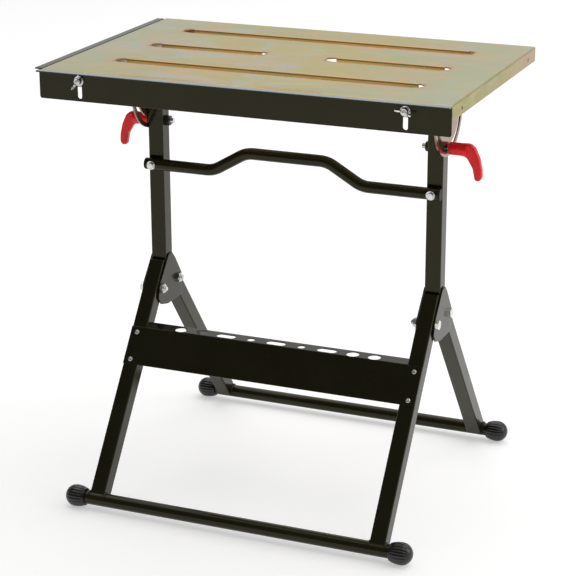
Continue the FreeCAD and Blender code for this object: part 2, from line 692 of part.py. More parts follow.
def make_legs():
    for name, pivot_y, foot_y, bar_y in (
        ("front", FRONT_PIVOT_Y, FRONT_LEG_FOOT_Y, -FOOT_Y),
        ("rear", REAR_PIVOT_Y, REAR_LEG_FOOT_Y, FOOT_Y),
    ):
        save_pair(name + "_leg", leg(pivot_y, foot_y, bar_y))
        save_pair(name + "_foot", ball_foot(bar_y))
        save(name + "_crossbar", crossbar(bar_y))


# ---------------------------------------------------------------- tool tray
def tray_holes(y, z):
    """Tool holes along the shelf: two large ones near each end, then slots and small ones in turn."""
    down = Vector(0, 0, -4 * TRAY_SHEET)
    top = z + 2 * TRAY_SHEET
    cutters = []
    for side in (-1, 1):
        for x in (side * TRAY_OUTER_LARGE_X, side * 3 * TRAY_HOLE_PITCH):
            cutters.append(rod(TRAY_LARGE_RADIUS, (x, y, top), (x, y, top + down.z)))
        x = side * TRAY_HOLE_PITCH
        cutters.append(rod(TRAY_SMALL_RADIUS, (x, y, top), (x, y, top + down.z)))
    reach = (TRAY_SLOT_LENGTH - TRAY_SLOT_WIDTH) / 2
    for x in (-2 * TRAY_HOLE_PITCH, 0.0, 2 * TRAY_HOLE_PITCH):
        cutters.append(obround(TRAY_SLOT_WIDTH, (x - reach, y, top), (x + reach, y, top), down))
    return cutters


def tool_tray():
    """A folded sheet: a panel over the fronts of both front legs and a level shelf behind its top edge."""
    along, outward, _ = leg_frame(FRONT_PIVOT_Y, FRONT_LEG_FOOT_Y)
    pivot = Vector(0, FRONT_PIVOT_Y, HINGE_Z)
    half = COLUMN_X + LEG / 2
    back = pivot + outward * (LEG / 2)
    top = back + along * TRAY_TOP
    bottom = back + along * TRAY_BOTTOM
    corners = [top, bottom, bottom + outward * TRAY_SHEET, top + outward * TRAY_SHEET, top]
    outline = Part.makePolygon([point + Vector(-half, 0, 0) for point in corners])
    panel = Part.Face(outline).extrude(Vector(2 * half, 0, 0))
    inside = COLUMN_X - LEG / 2 - 0.5
    crest = top.z + outward.z * TRAY_SHEET
    front = top.y + outward.y * TRAY_SHEET
    rear = front + TRAY_SHELF
    shelf = box((-inside, inside), (front + TRAY_SHEET, rear), (crest - TRAY_SHEET, crest))
    tray = panel.fuse(shelf).cut(tray_holes(front + TRAY_HOLE_SETBACK, crest))
    for station in TRAY_SCREW_STATIONS:
        for side in (-1, 1):
            seat = back + along * station + Vector(side * TRAY_SCREW_X, 0, 0)
            tray = tray.cut(rod(SCREW_RADIUS, seat - outward * 4, seat + outward * 4))
    return tray.removeSplitter()


def tray_screw(x, station):
    """A pan-head screw that holds the tray's panel to a front leg."""
    along, outward, _ = leg_frame(FRONT_PIVOT_Y, FRONT_LEG_FOOT_Y)
    seat = Vector(x, FRONT_PIVOT_Y, HINGE_Z) + outward * (LEG / 2 + TRAY_SHEET) + along * station
    shank = rod(SCREW_RADIUS, seat, seat - outward * SCREW_LENGTH)
    head = rod(SCREW_HEAD_RADIUS, seat, seat + outward * SCREW_HEAD)
    outer = max(head.Edges, key=lambda edge: edge.CenterOfMass.dot(outward))
    return head.makeFillet(SCREW_HEAD * 0.6, [outer]).fuse(shank).removeSplitter()


def make_tray():
    save("tool_tray", tool_tray())
    screws = [tray_screw(side * TRAY_SCREW_X, station) for side in (-1, 1) for station in TRAY_SCREW_STATIONS]
    save("tray_screws", *screws)


os.makedirs("parts", exist_ok=True)
make_top()
make_guides()
make_columns()
make_levers()
make_handle()
make_legs()
make_tray()
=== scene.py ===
import json
import math

import bpy
from mathutils import Matrix, Vector


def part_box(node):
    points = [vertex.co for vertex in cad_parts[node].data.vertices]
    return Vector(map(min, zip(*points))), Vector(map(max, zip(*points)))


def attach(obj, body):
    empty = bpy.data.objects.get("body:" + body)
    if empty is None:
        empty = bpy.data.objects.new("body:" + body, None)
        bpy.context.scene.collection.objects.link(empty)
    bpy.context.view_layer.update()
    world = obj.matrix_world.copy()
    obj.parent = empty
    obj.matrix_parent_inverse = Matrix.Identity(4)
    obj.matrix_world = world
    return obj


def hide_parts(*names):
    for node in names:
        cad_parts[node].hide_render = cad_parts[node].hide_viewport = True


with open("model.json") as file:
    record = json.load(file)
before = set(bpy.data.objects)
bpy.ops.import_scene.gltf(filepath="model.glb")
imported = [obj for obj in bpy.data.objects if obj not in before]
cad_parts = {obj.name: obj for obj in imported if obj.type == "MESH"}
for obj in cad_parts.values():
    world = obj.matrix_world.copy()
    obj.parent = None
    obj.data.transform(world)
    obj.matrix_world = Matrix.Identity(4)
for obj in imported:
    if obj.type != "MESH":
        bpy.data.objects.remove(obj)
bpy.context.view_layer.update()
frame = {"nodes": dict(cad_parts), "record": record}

# ---- camera, in the shared frame ----
CAMERA_AZIMUTH = 22.48
CAMERA_ELEVATION = 18.9
CAMERA_ROLL = -0.19
CAMERA_DISTANCE = 3.612
CAMERA_TARGET = (-0.01367, 0.0, 0.37608)
CAMERA_LENS = 119.6
SENSOR = 36.0

# ---- slots in the top, in metres, for the stains around them ----
SLOT_ROWS = (-0.135, 0.009, 0.153)
SLOT_REACH = 0.292
SLOT_INNER = 0.059
SLOT_HALF_WIDTH = 0.014

# ---- bands over which one look fades into the next, in metres: low and high ----
RAIL_EDGE_Z = (0.8180, 0.8186)
RAIL_EDGE_X = (-0.3790, -0.3770)
BELOW_TOP_Z = (0.8146, 0.8174)
LIP_FOOT_Z = (0.8096, 0.8124)
COVERED_BRACKET_Z = (0.808, 0.815)
RIM_X = (0.3770, 0.3800)
RIM_Y = (0.2500, 0.2530)
FRONT_STAIN_Y = (-0.2470, -0.2300)
SLOT_EDGE = (0.0004, 0.0030)

# ---- colours laid over the base colours ----
# painted highlight: paler grey for the front rail's top edge
RAIL_EDGE_HIGHLIGHT = (0.27, 0.30, 0.33)
END_GREEN = (0.40, 0.44, 0.31)
CLOUD_GREY = (0.42, 0.45, 0.38)
BLUSH_PINK = (0.62, 0.36, 0.20)
STAIN_COPPER = (0.58, 0.33, 0.17)
FRONT_BROWN = (0.46, 0.27, 0.09)
SLOT_BROWN = (0.30, 0.19, 0.07)
LIP_SHADE = (0.12, 0.08, 0.02)
REAR_PINK = (0.45, 0.32, 0.20)
# painted shade: dark olive for the bracket plate where the pan covers it
SHADE_OLIVE_UNDER_PAN = (0.075, 0.066, 0.020)

# ---- fasteners, in metres ----
HANDLE_BOLT_FLATS = 0.0113
HANDLE_BOLT_INSET = 0.0066
HANDLE_BOLT_THREAD = 0.012
LEG_BOLT_HEAD = 0.0064
LEG_BOLT_TIP = 0.0035
LEG_BOLT_THREAD = 0.014
M10_FLATS = 0.017
M10_NUT = 0.0084
M10_RADIUS = 0.005
M10_PITCH = 0.0015
CLAMP_NUT = 0.0064
M8_FLATS = 0.013
M8_RADIUS = 0.004
M8_PITCH = 0.00125
M6_PITCH = 0.001
HEX_CHAMFER_START = 0.985
HEX_CHAMFER_SLOPE = 2.2
HEX_CHAMFER_DEPTH = 0.0011
LOCK_NUT_BASE = 0.70
LOCK_NUT_COLLAR = 0.44
SHANK_SHARE = 0.93
THREAD_DEPTH = 0.14
STUD_RADIUS = 0.003
STUD_HEAD_RADIUS = 0.008
STUD_HEAD = 0.0025
STUD_PLAIN = 0.005

# ---- front legs: pivot and foot in the y-z plane, and the tray screws in their outward faces ----
LEG_PIVOT = (-0.042, 0.358)
LEG_FOOT = (-0.288, 0.0205)
LEG_HALF = 0.0147
TRAY_SHEET = 0.0015
TRAY_SCREW_X = 0.2775
TRAY_SCREW_STATIONS = (0.0968, 0.1506)
SCREW_RADIUS = 0.0023
SCREW_HEAD_RADIUS = 0.0044
SCREW_HEAD = 0.0026
SCREW_LENGTH = 0.009
CROSS_REACH = 0.0021
CROSS_HALF_WIDTH = 0.00055
CROSS_DEPTH = 0.0016
CROSS_TAPER = 0.0030

# ---- columns and crossbars, for the welds ----
COLUMN_X = 0.2765
COLUMN_HALF = 0.015
CROSSBAR_RADIUS = 0.0127
FRONT_LEG_SLOPE = math.radians(36)
REAR_LEG_SLOPE = math.radians(37.6)
WELD_HALF_ARC = math.radians(78)
WELD_RADIUS = 0.0021
PLATE_WELD_RADIUS = 0.0018

# ---- feet ----
FOOT_RIBS = 18
FOOT_GROOVE = 0.0008
FOOT_MOUTH = 0.0014
FOOT_BORE = 0.0128
FOOT_TAPER = 0.6
FOOT_SMOOTH_POLE = 0.0035
RIB_FADE_IN = 0.004
RIB_FADE_OUT = 0.006


# ---------------------------------------------------------------- node helpers
class Nodes:
    """A small helper that writes a material's node tree line by line."""

    def __init__(self, name):
        self.material = bpy.data.materials.new(name)
        self.material.use_nodes = True
        self.tree = self.material.node_tree
        self.tree.nodes.clear()
        self.shader = self.add("ShaderNodeBsdfPrincipled")
        output = self.add("ShaderNodeOutputMaterial")
        self.link(self.shader.outputs[0], output.inputs["Surface"])
        self.place = self.add("ShaderNodeTexCoord").outputs["Object"]

    def add(self, kind, **values):
        node = self.tree.nodes.new(kind)
        for key, value in values.items():
            setattr(node, key, value)
        return node

    def link(self, source, target):
        self.tree.links.new(source, target)

    def feed(self, socket, value):
        """Links a socket's output, or writes a plain number or colour."""
        if isinstance(value, (int, float)):
            socket.default_value = value
        elif isinstance(value, tuple):
            socket.default_value = (*value, 1.0)
        else:
            self.link(value, socket)

    def set(self, name, value):
        self.shader.inputs[name].default_value = value

    def math(self, operation, first, second=0.0):
        node = self.add("ShaderNodeMath", operation=operation)
        self.feed(node.inputs[0], first)
        self.feed(node.inputs[1], second)
        return node.outputs[0]

    def axes(self):
        node = self.add("ShaderNodeSeparateXYZ")
        self.link(self.place, node.inputs[0])
        return node.outputs[0], node.outputs[1], node.outputs[2]

    def stretch(self, scale):
        node = self.add("ShaderNodeMapping")
        node.inputs["Scale"].default_value = scale
        self.link(self.place, node.inputs["Vector"])
        return node.outputs["Vector"]

    def noise(self, scale, detail=3.0, roughness=0.55, vector=None, distortion=0.0):
        node = self.add("ShaderNodeTexNoise")
        node.inputs["Scale"].default_value = scale
        node.inputs["Detail"].default_value = detail
        node.inputs["Roughness"].default_value = roughness
        node.inputs["Distortion"].default_value = distortion
        self.link(vector or self.place, node.inputs["Vector"])
        return node.outputs["Fac"]

    def span(self, value, low, high, to_low, to_high):
        node = self.add("ShaderNodeMapRange")
        for key, number in (("From Min", low), ("From Max", high), ("To Min", to_low), ("To Max", to_high)):
            node.inputs[key].default_value = number
        self.link(value, node.inputs["Value"])
        return node.outputs["Result"]

    def ramp(self, value, stops):
        node = self.add("ShaderNodeValToRGB")
        band = node.color_ramp
        while len(band.elements) < len(stops):
            band.elements.new(0.5)
        for element, (place, colour) in zip(band.elements, stops):
            element.position = place
            element.color = (*colour, 1.0)
        self.link(value, node.inputs["Fac"])
        return node.outputs["Color"]

    def mix(self, share, first, second, blend="MIX"):
        node = self.add("ShaderNodeMix", data_type="RGBA", blend_type=blend)
        self.feed(node.inputs[0], share)
        self.feed(node.inputs[6], first)
        self.feed(node.inputs[7], second)
        return node.outputs[2]

    def bump(self, height, distance, strength=1.0, edge=0.0):
        """Small relief, over edges rounded by the given radius if there is one."""
        node = self.add("ShaderNodeBump")
        if edge:
            soft = self.add("ShaderNodeBevel", samples=6)
            soft.inputs["Radius"].default_value = edge
            self.link(soft.outputs["Normal"], node.inputs["Normal"])
        node.inputs["Distance"].default_value = distance
        node.inputs["Strength"].default_value = strength
        self.link(height, node.inputs["Height"])
        self.link(node.outputs["Normal"], self.shader.inputs["Normal"])


# ---------------------------------------------------------------- materials
def powder_coat():
    """Glossy black paint with faint orange peel, a warm cast and a painted highlight in paler grey along the
    front rail's top edge.
    """
    n = Nodes("black_powder_coat")
    n.set("Specular IOR Level", 0.31)
    n.set("Specular Tint", (1.0, 0.95, 0.64, 1.0))
    coat = n.ramp(n.noise(9.0, 4.0), [(0.3, (0.0085, 0.0078, 0.0030)), (0.7, (0.0130, 0.0120, 0.0052))])
    x, _, z = n.axes()
    # painted highlight: the front rail's top edge is mixed towards a paler grey, standing in for light caught
    # there
    edge = n.math("MULTIPLY", n.span(z, *RAIL_EDGE_Z, 0.0, 1.0), n.span(x, *RAIL_EDGE_X, 0.0, 1.0))
    n.link(n.mix(edge, coat, RAIL_EDGE_HIGHLIGHT), n.shader.inputs["Base Color"])
    n.link(n.span(n.noise(35.0, 5.0), 0.3, 0.7, 0.10, 0.20), n.shader.inputs["Roughness"])
    n.bump(n.noise(420.0, 2.0), 0.00008, 0.3, edge=0.0016)
    return n.material


def slot_distance(n):
    """Distance in metres from a point of the top to the nearest slot."""
    x, y, _ = n.axes()
    reach = n.math("ABSOLUTE", x)
    nearest = None
    for row in SLOT_ROWS:
        across = n.math("ABSOLUTE", n.math("SUBTRACT", y, row))
        across = n.math("MAXIMUM", n.math("SUBTRACT", across, SLOT_HALF_WIDTH))
        if row == SLOT_ROWS[1]:
            middle = (SLOT_REACH + SLOT_INNER) / 2
            half = (SLOT_REACH - SLOT_INNER) / 2
            along = n.math("SUBTRACT", n.math("ABSOLUTE", n.math("SUBTRACT", reach, middle)), half)
        else:
            along = n.math("SUBTRACT", reach, SLOT_REACH)
        along = n.math("MAXIMUM", along)
        squares = n.math("ADD", n.math("MULTIPLY", across, across), n.math("MULTIPLY", along, along))
        gap = n.math("SQRT", squares)
        nearest = gap if nearest is None else n.math("MINIMUM", nearest, gap)
    return nearest


def clouds(n, x):
    """Khaki sheet with large soft clouds, greener at the ends, greyer and pinker in patches."""
    warp = n.stretch((1.0, 1.6, 1.0))
    sheet = n.ramp(n.noise(3.6, 3.0, 0.5, warp, 0.6), [
        (0.30, (0.42, 0.42, 0.26)), (0.42, (0.44, 0.39, 0.16)), (0.52, (0.47, 0.40, 0.155)),
        (0.62, (0.39, 0.40, 0.18)), (0.74, (0.56, 0.37, 0.17)),
    ])
    outward = n.math("ADD", n.math("ABSOLUTE", x), n.math("MULTIPLY", n.noise(6.0, 3.0), 0.16))
    sheet = n.mix(n.span(outward, 0.22, 0.42, 0.0, 0.6), sheet, END_GREEN)
    grey = n.span(n.noise(5.5, 3.0, 0.55, warp, 1.4), 0.49, 0.64, 0.0, 0.72)
    sheet = n.mix(grey, sheet, CLOUD_GREY)
    streaks = n.stretch((1.0, 2.4, 1.0))
    blush = n.span(n.noise(7.5, 4.0, 0.6, streaks, 1.8), 0.51, 0.66, 0.0, 0.68)
    return n.mix(blush, sheet, BLUSH_PINK)


def stains(n, sheet, y):
    """Copper stains round the slots, brown patches along the front and a dark line at each slot."""
    slot = slot_distance(n)
    wander = n.math("MULTIPLY", n.math("SUBTRACT", n.noise(26.0, 4.0, 0.6), 0.5), 0.05)
    stain = n.span(n.math("ADD", slot, wander), 0.0, 0.024, 0.5, 0.0)
    sheet = n.mix(stain, sheet, STAIN_COPPER)
    patches = n.span(n.noise(11.0, 3.0), 0.46, 0.58, 0.0, 0.8)
    front = n.math("MULTIPLY", n.span(y, *FRONT_STAIN_Y, 1.0, 0.0), patches)
    sheet = n.mix(front, sheet, FRONT_BROWN)
    line = n.span(slot, *SLOT_EDGE, 0.85, 0.0)
    return n.mix(line, sheet, SLOT_BROWN)


def slot_lips(n, z):
    """Golden and copper lips that turn down into the slots, with painted shade darkening their feet."""
    lip = n.ramp(n.noise(16.0, 3.0, 0.5, n.stretch((1.0, 3.0, 3.0)), 1.0), [
        (0.32, (0.68, 0.50, 0.13)), (0.50, (0.78, 0.44, 0.13)), (0.66, (0.56, 0.48, 0.14)),
    ])
    # painted shade: the lips turn dark towards their feet, down in the slots
    return n.mix(n.span(z, *LIP_FOOT_Z, 0.85, 0.0), lip, LIP_SHADE)


def folded_rim(n, y):
    """Olive folded edge of the pan, pinker towards the rear."""
    fold = n.ramp(n.noise(7.0, 4.0, 0.55, n.stretch((1.0, 1.0, 3.0)), 1.2), [
        (0.32, (0.41, 0.37, 0.16)), (0.46, (0.33, 0.30, 0.10)),
        (0.58, (0.42, 0.34, 0.14)), (0.72, (0.33, 0.33, 0.14)),
    ])
    rearward = n.math("ADD", y, n.math("MULTIPLY", n.noise(9.0, 3.0), 0.30))
    return n.mix(n.span(rearward, 0.16, 0.36, 0.0, 0.85), fold, REAR_PINK)


def zinc_chromate():
    """Yellow-passivated sheet: khaki with iridescent clouds, stained slots and golden folded edges."""
    n = Nodes("zinc_chromate")
    x, y, z = n.axes()
    sheet = stains(n, clouds(n, x), y)
    below = n.span(z, *BELOW_TOP_Z, 1.0, 0.0)
    sheet = n.mix(below, sheet, slot_lips(n, z))
    short_edges = n.span(n.math("ABSOLUTE", x), *RIM_X, 0.0, 1.0)
    long_edges = n.span(n.math("ABSOLUTE", y), *RIM_Y, 0.0, 1.0)
    rim = n.math("MAXIMUM", short_edges, long_edges)
    sheet = n.mix(rim, sheet, folded_rim(n, y))
    inner = n.math("MULTIPLY", below, n.math("SUBTRACT", 1.0, rim))
    n.link(n.span(inner, 0.0, 1.0, 0.9, 0.15), n.shader.inputs["Metallic"])
    grain = n.noise(30.0, 5.0, 0.6, n.stretch((1.0, 30.0, 30.0)))
    brushed = n.ramp(grain, [(0.35, (0.30, 0.28, 0.22)), (0.65, (0.72, 0.70, 0.62))])
    n.link(n.mix(0.10, sheet, brushed, "OVERLAY"), n.shader.inputs["Base Color"])
    n.link(n.span(n.noise(14.0, 4.0), 0.3, 0.7, 0.30, 0.42), n.shader.inputs["Roughness"])
    n.bump(grain, 0.00006, 0.25)
    return n.material


def bracket_zinc():
    """Passivated bracket plate: cream to pink and fairly smooth, with painted shade in dark olive where the
    pan covers it.
    """
    n = Nodes("bracket_zinc")
    n.set("Metallic", 0.95)
    tint = n.ramp(n.noise(14.0, 4.0, 0.5, None, 1.2), [
        (0.30, (0.30, 0.25, 0.18)), (0.50, (0.32, 0.22, 0.17)),
        (0.66, (0.31, 0.18, 0.14)), (0.78, (0.26, 0.23, 0.14)),
    ])
    _, _, z = n.axes()
    # painted shade: the plate turns dark olive where the pan covers it
    shade_under_pan = n.span(z, *COVERED_BRACKET_Z, 0.0, 1.0)
    n.link(n.mix(shade_under_pan, tint, SHADE_OLIVE_UNDER_PAN), n.shader.inputs["Base Color"])
    grain = n.noise(40.0, 4.0, 0.6, n.stretch((20.0, 1.0, 20.0)))
    n.link(n.span(grain, 0.3, 0.7, 0.16, 0.26), n.shader.inputs["Roughness"])
    n.bump(grain, 0.00004, 0.25)
    return n.material


def bright_zinc():
    """Clear-passivated zinc on the fasteners, with a fine mottle."""
    n = Nodes("bright_zinc")
    n.set("Metallic", 1.0)
    mottle = n.ramp(n.noise(140.0, 4.0), [(0.3, (0.58, 0.58, 0.57)), (0.7, (0.80, 0.80, 0.79))])
    n.link(mottle, n.shader.inputs["Base Color"])
    n.link(n.span(n.noise(300.0, 3.0), 0.3, 0.7, 0.14, 0.28), n.shader.inputs["Roughness"])
    n.bump(n.noise(700.0, 2.0), 0.00003, 0.4)
    return n.material


def coated(name, low, high, rough, bump_scale, bump_depth, specular=0.5):
    """A plain coating: a faint mottle between two colours, a range of roughness and a fine texture."""
    n = Nodes(name)
    n.set("Specular IOR Level", specular)
    n.link(n.ramp(n.noise(45.0, 4.0), [(0.3, low), (0.7, high)]), n.shader.inputs["Base Color"])
    n.link(n.span(n.noise(120.0, 4.0), 0.3, 0.7, *rough), n.shader.inputs["Roughness"])
    n.bump(n.noise(bump_scale, 3.0), bump_depth, 0.4)
    return n.material


MATERIALS = {
    "black_powder_coat": powder_coat(),
    "zinc_chromate": zinc_chromate(),
    "bracket_zinc": bracket_zinc(),
    "bright_zinc": bright_zinc(),
    "black_oxide": coated(
        "black_oxide", (0.010, 0.010, 0.009), (0.026, 0.025, 0.022), (0.24, 0.38), 500.0, 0.00008,
    ),
    "red_grip": coated(
        "red_grip", (0.76, 0.010, 0.012), (0.88, 0.016, 0.018), (0.20, 0.30), 260.0, 0.00012, 0.30,
    ),
    "black_rubber": coated(
        "black_rubber", (0.004, 0.004, 0.0035), (0.008, 0.0078, 0.007), (0.08, 0.18), 300.0, 0.00006,
    ),
    "black_plug": coated(
        "black_plug", (0.006, 0.006, 0.005), (0.010, 0.010, 0.009), (0.35, 0.5), 420.0, 0.0001, 0.12,
    ),
}

for part in frame["record"]["subparts"]:
    for slot in frame["nodes"][part["node"]].material_slots:
        slot.material = MATERIALS[part["material_slot"]]


# ---------------------------------------------------------------- mesh helpers
SHARP_ANGLE = math.radians(32)
AXES = {
    "+x": (Vector((0, 1, 0)), Vector((0, 0, 1)), Vector((1, 0, 0))),
    "-x": (Vector((0, 0, 1)), Vector((0, 1, 0)), Vector((-1, 0, 0))),
    "+y": (Vector((0, 0, 1)), Vector((1, 0, 0)), Vector((0, 1, 0))),
    "-y": (Vector((1, 0, 0)), Vector((0, 0, 1)), Vector((0, -1, 0))),
}


def turned(origin, axis, rows, steps=24, shape=None):
    """A closed turned form: rows of (height, radius) up the axis, each point moved by shape if given."""
    first, second, way = AXES[axis] if isinstance(axis, str) else axis
    points = []
    faces = []
    for height, radius in rows:
        for step in range(steps):
            angle = 2 * math.pi * step / steps
            up, out = shape(height, angle, radius) if shape else (height, radius)
            around = first * (out * math.cos(angle)) + second * (out * math.sin(angle))
            points.append(Vector(origin) + around + way * up)
    for row in range(len(rows) - 1):
        for step in range(steps):
            near = row * steps
            far = near + steps
            after = (step + 1) % steps
            faces.append((near + step, near + after, far + after, far + step))
    faces.append(tuple(range(steps - 1, -1, -1)))
    last = (len(rows) - 1) * steps
    faces.append(tuple(range(last, last + steps)))
    return points, faces


def hexagonal(flats, height, ends=(True, True)):
    """Shape function that cuts a turned form down to a hexagon, chamfered at the marked ends."""
    def shape(up, angle, radius):
        turn = (angle + math.pi / 6) % (math.pi / 3) - math.pi / 6
        flat = flats / 2 / math.cos(turn)
        edge = 1.0
        if ends[0]:
            edge = min(edge, flats / 2 * HEX_CHAMFER_START + HEX_CHAMFER_SLOPE * up)
        if ends[1]:
            edge = min(edge, flats / 2 * HEX_CHAMFER_START + HEX_CHAMFER_SLOPE * (height - up))
        return up, min(radius, flat, edge)
    return shape


def threaded(pitch, depth):
    """Shape function that winds a screw thread round a turned form."""
    def shape(up, angle, radius):
        phase = (up / pitch - angle / (2 * math.pi)) % 1.0
        return up, radius - depth * abs(2 * phase - 1)
    return shape


def thread_rows(start, end, radius, pitch):
    """Rows close enough to carry a thread, with a chamfered tip at the end."""
    count = max(2, round(abs(end - start) / pitch * 5))
    rows = []
    for index in range(count + 1):
        height = start + (end - start) * index / count
        tip = min(1.0, 0.72 + abs(end - height) / (0.9 * pitch) * 0.28)
        rows.append((height, radius * tip))
    return rows


def build(name, forms, slot, body, *replaced):
    """Joins closed forms into one piece, with its material, its body and the CAD nodes that it stands for."""
    points = []
    faces = []
    for form_points, form_faces in forms:
        start = len(points)
        points.extend(form_points)
        faces.extend(tuple(start + corner for corner in face) for face in form_faces)
    mesh = bpy.data.meshes.new(name)
    mesh.from_pydata([tuple(point) for point in points], [], faces)
    mesh.polygons.foreach_set("use_smooth", [True] * len(mesh.polygons))
    mesh.set_sharp_from_angle(angle=SHARP_ANGLE)
    mesh.materials.append(MATERIALS[slot])
    piece = bpy.data.objects.new(name, mesh)
    bpy.context.scene.collection.objects.link(piece)
    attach(piece, body)
    if replaced:
        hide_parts(*replaced)
    return piece


def mirrored(form):
    """The same form on the other side of the x = 0 plane."""
    points, faces = form
    flipped = [Vector((-point.x, point.y, point.z)) for point in points]
    return flipped, [tuple(reversed(face)) for face in faces]


def both(*forms):
    """The given forms, then the same forms on the other side."""
    return [*forms, *(mirrored(form) for form in forms)]


def cad_box(node):
    """The low and the high corner of a CAD node's box."""
    return [Vector(corner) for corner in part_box(node)]


# ---------------------------------------------------------------- feet
def foot_form(node):
    """A full rubber ball with shallow lengthwise ribs, a smooth pole and a rounded mouth for the tube."""
    low, high = cad_box(node)
    outer = 1 if high.x > 0 else -1
    radius = (high.z - low.z) / 2
    length = high.x - low.x
    centre = length - radius
    start = Vector((low.x if outer > 0 else high.x, (low.y + high.y) / 2, low.z + radius))
    rows = [(0.0030, FOOT_BORE), (0.0005, FOOT_BORE), (0.0, FOOT_BORE + 0.0007)]
    rows += [(0.0001, 0.0150), (0.0006, 0.0160)]
    reach = (centre - FOOT_MOUTH) / FOOT_TAPER
    steps = 14
    for index in range(steps):
        up = FOOT_MOUTH + (centre - FOOT_MOUTH) * index / steps
        rows.append((up, radius * math.sqrt(1 - ((centre - up) / reach) ** 2)))
    for index in range(steps + 1):
        turn = math.pi / 2 - (math.pi / 2 - 0.02) * index / steps
        rows.append((centre + radius * math.cos(turn), radius * math.sin(turn)))

    def shape(up, angle, out):
        if out < 0.001 or up < FOOT_MOUTH:
            return up, out
        fade_in = min(1.0, (up - FOOT_MOUTH) / RIB_FADE_IN)
        fade_out = min(1.0, max(0.0, (length - up - FOOT_SMOOTH_POLE) / RIB_FADE_OUT))
        groove = 1 - abs(math.sin(angle * FOOT_RIBS / 2)) ** 0.7
        ridge = min(1.0, out / radius + 0.15)
        return up, out - FOOT_GROOVE * groove * (fade_in * fade_out) * ridge
    return turned(start, "+x" if outer > 0 else "-x", rows, FOOT_RIBS * 8, shape)


def feet():
    """The four ribbed feet, in place of the plain CAD ones."""
    for end, body in (("front", "front_legs"), ("rear", "rear_legs")):
        for side in ("left", "right"):
            node = side + "_" + end + "_foot"
            build(side + "_" + end + "_ribbed_foot", [foot_form(node)], "black_rubber", body, node)


# ---------------------------------------------------------------- fasteners
def hex_rows(height, radius, steps=7):
    """Rows of a hexagonal head or nut, close together near both ends for its chamfers."""
    rows = [(0.0, radius * 0.6)]
    for index in range(steps):
        rows.append((HEX_CHAMFER_DEPTH * index / (steps - 1), radius))
    for index in range(steps):
        rows.append((height - HEX_CHAMFER_DEPTH + HEX_CHAMFER_DEPTH * index / (steps - 1), radius))
    rows.append((height, radius * 0.6))
    return rows


def hex_form(origin, axis, flats, height, ends=(True, True)):
    """A hexagonal head or nut, chamfered at the ends that are marked."""
    shape = hexagonal(flats, height, ends=ends)
    return turned(origin, axis, hex_rows(height, flats * 0.6), 72, shape)


def lock_nut_form(origin, axis, flats, height):
    """A lock nut: a hexagonal base and a rounded collar with a recess for its ring at the top."""
    base = height * LOCK_NUT_BASE
    hexagon = hex_form(origin, axis, flats, base)
    collar = flats * LOCK_NUT_COLLAR
    rows = [(base - 0.0005, collar), (height - 0.0010, collar), (height - 0.0003, collar * 0.95)]
    rows += [(height, collar * 0.86), (height, collar * 0.74), (height - 0.0005, collar * 0.70)]
    return [hexagon, turned(origin, axis, rows, 36)]


def rod_form(origin, axis, start, end, radius, thread_from, pitch):
    """A plain shank and a threaded stretch, as two forms."""
    shank = radius * SHANK_SHARE
    plain = turned(origin, axis, [(start, shank), (thread_from, shank)], 24)
    rows = thread_rows(thread_from, end, radius, pitch)
    return [plain, turned(origin, axis, rows, 24, threaded(pitch, radius * THREAD_DEPTH))]


def handle_bolts():
    """Hex bolts through the handle bar and the columns."""
    low, high = cad_box("handle_bolts")
    washer_low, _ = cad_box("handle_washers")
    x = high.x - HANDLE_BOLT_INSET
    z = (low.z + high.z) / 2
    seat = washer_low.y
    head = hex_form((x, seat, z), "-y", HANDLE_BOLT_FLATS, seat - low.y, (False, True))
    reach = high.y - seat
    shank = rod_form((x, seat, z), "+y", 0.0, reach, M8_RADIUS, reach - HANDLE_BOLT_THREAD, M8_PITCH)
    build("handle_hex_bolts", both(head, *shank), "bright_zinc", "upright_frame", "handle_bolts")
    nut_low, nut_high = cad_box("handle_nuts")
    nut = hex_form((x, nut_low.y, z), "+y", M8_FLATS, nut_high.y - nut_low.y)
    build("handle_hex_nuts", both(nut), "bright_zinc", "upright_frame", "handle_nuts")


def leg_pivot_bolts():
    """Hex bolts and lock nuts of the two leg hinges."""
    for end in ("front", "rear"):
        low, high = cad_box(end + "_leg_pivot_bolts")
        _, nut_high = cad_box(end + "_leg_pivot_nuts")
        y = (low.y + high.y) / 2
        z = (low.z + high.z) / 2
        face = high.x - LEG_BOLT_HEAD
        head = hex_form((face, y, z), "+x", M10_FLATS, LEG_BOLT_HEAD, (False, True))
        reach = face - (nut_high.x - M10_NUT - LEG_BOLT_TIP)
        shank = rod_form((face, y, z), "-x", 0.0, reach, M10_RADIUS, reach - LEG_BOLT_THREAD, M10_PITCH)
        bolts = both(head, *shank)
        build(end + "_leg_hex_bolts", bolts, "bright_zinc", "upright_frame", end + "_leg_pivot_bolts")
        nuts = both(*lock_nut_form((nut_high.x, y, z), "-x", M10_FLATS, M10_NUT))
        build(end + "_leg_lock_nuts", nuts, "bright_zinc", "upright_frame", end + "_leg_pivot_nuts")


def rail_studs():
    """Weld studs that carry the rails: a thin head behind the flange and a threaded end in front."""
    for node, axis in (("front_rail_studs", "-y"), ("left_rail_studs", "-x")):
        low, high = cad_box(node)
        forms = []
        z = (low.z + high.z) / 2
        for end in (-1, 1):
            if axis == "-y":
                along = high.x - STUD_HEAD_RADIUS
                origin = (end * along, high.y, z)
                reach = high.y - low.y
            else:
                along = high.y - STUD_HEAD_RADIUS
                origin = (high.x, end * along, z)
                reach = high.x - low.x
            head = [(0.0, STUD_HEAD_RADIUS * 0.8), (0.0003, STUD_HEAD_RADIUS), (STUD_HEAD, STUD_HEAD_RADIUS)]
            forms.append(turned(origin, axis, head, 36))
            plain_end = STUD_HEAD + STUD_PLAIN
            forms.extend(rod_form(origin, axis, STUD_HEAD, reach, STUD_RADIUS, plain_end, M6_PITCH))
        build(node.replace("studs", "threaded_studs"), forms, "bright_zinc", "table_top", node)


